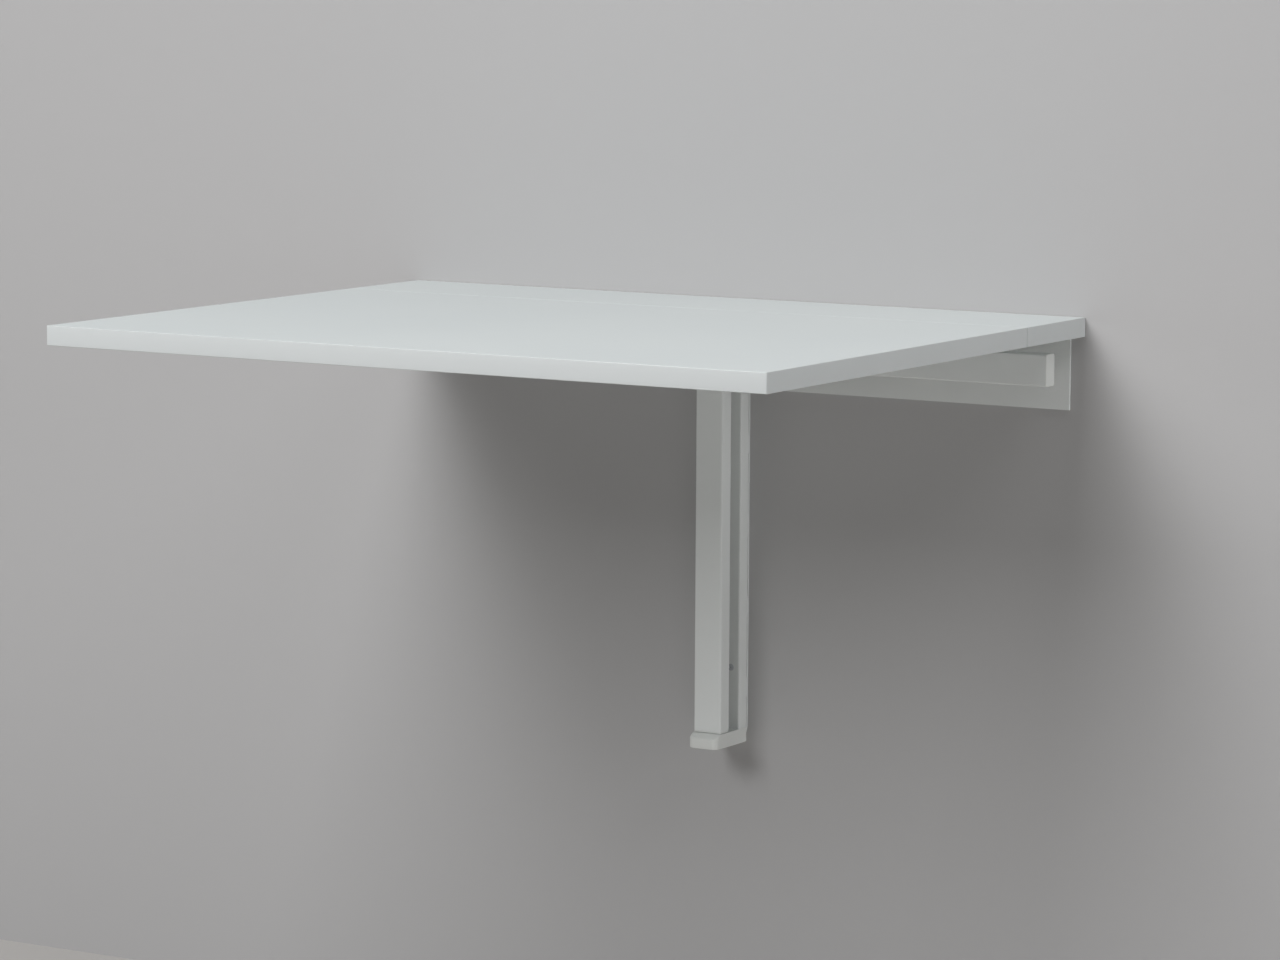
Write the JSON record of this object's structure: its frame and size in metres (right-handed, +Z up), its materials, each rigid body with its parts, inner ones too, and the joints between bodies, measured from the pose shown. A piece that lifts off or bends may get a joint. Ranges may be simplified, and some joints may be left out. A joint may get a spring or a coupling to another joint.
{
  "type": "wall mounted drop leaf table",
  "caption": "Wall mounted table: a shelf and hinged drop leaf on a T shaped wall frame with a swing gate.",
  "frame": {"origin": "centre of the rail plate's back face, which lies on the wall", "axes": "+X along the wall to the right as seen from the room, +Y into the wall, +Z up"},
  "size_m": [0.74, 0.6, 0.432],
  "materials": {
    "white_board": "white melamine faced particleboard",
    "edge_band": "white ABS edge band, satin",
    "white_steel": "white powder coat, satin",
    "white_plastic": "white moulded plastic, fine texture",
    "zinc_steel": "bright zinc plated steel",
    "zinc_screw": "zinc plated screw",
    "nylon": "natural nylon"
  },
  "bodies": {
    "root": {"rail_plate": "white_steel", "post_leg": "white_steel", "post_tube": "white_steel", "shelf_board": "white_board", "shelf_edge_bands": "edge_band", "shelf_screws": "zinc_screw", "hinge_shelf_plate_left": "zinc_steel", "hinge_shelf_plate_right": "zinc_steel", "hinge_pin_left": "zinc_steel", "hinge_pin_right": "zinc_steel", "hinge_shelf_screws": "zinc_screw", "foot_cap": "white_plastic", "foot_screw": "zinc_screw", "upper_pivot_pin": "zinc_steel", "lower_pivot_pin": "zinc_steel", "lower_pivot_washer": "nylon", "gate_rest": "white_plastic", "gate_stile": "white_steel", "gate_arm": "white_steel", "stile_top_plug": "nylon", "stile_bottom_plug": "white_plastic", "arm_end_plug": "white_plastic", "upper_pivot_washer": "nylon"},
    "leaf": {"leaf_board": "white_board", "leaf_edge_bands": "edge_band", "hinge_leaf_plate_left": "zinc_steel", "hinge_leaf_plate_right": "zinc_steel", "hinge_leaf_screws": "zinc_screw", "leaf_support_block": "white_plastic", "support_block_screws": "zinc_screw"}
  },
  "joints": [
    {"name": "leaf_fold", "type": "hinge", "parent": "root", "child": "leaf", "pos_m": [0, -0.12, 0.0305], "axis": [1, 0, 0], "range_deg": [0, 90]}
  ]
}
